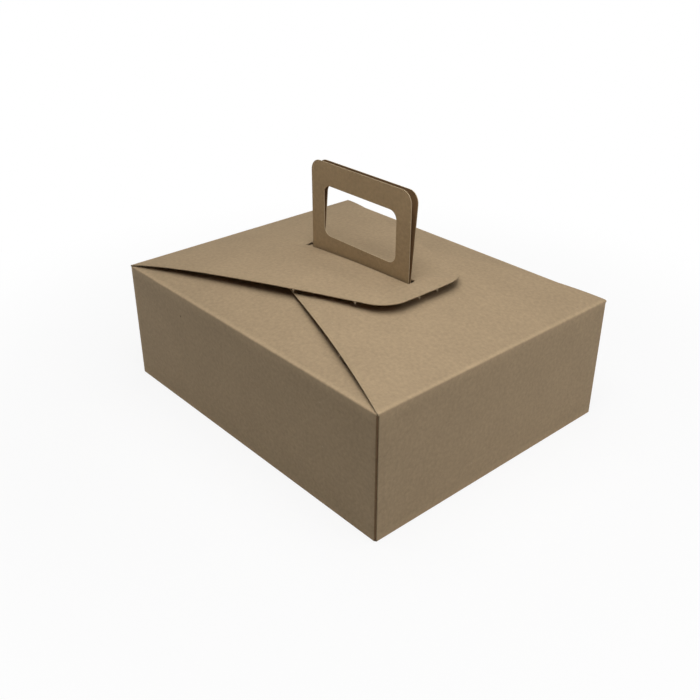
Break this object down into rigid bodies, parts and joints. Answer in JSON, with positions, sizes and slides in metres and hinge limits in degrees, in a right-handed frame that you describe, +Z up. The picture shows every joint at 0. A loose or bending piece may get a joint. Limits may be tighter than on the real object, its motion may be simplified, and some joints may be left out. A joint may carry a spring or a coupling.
{
  "type": "takeaway box with handle",
  "caption": "Folded kraft board takeaway box with slotted end flaps closed over an upright two-layer carry handle.",
  "frame": {"origin": "centre of the base, on the surface that the box stands on", "axes": "+Z up, X along the box and the handle, the outer end flap hinged on the -X end wall, the upright handle half facing -Y"},
  "size_m": [0.25, 0.2, 0.1591],
  "materials": {
    "kraft_board": "matt unbleached kraft board with fine fibre mottling"
  },
  "bodies": {
    "root": {"carton": "kraft_board"}
  },
  "joints": []
}
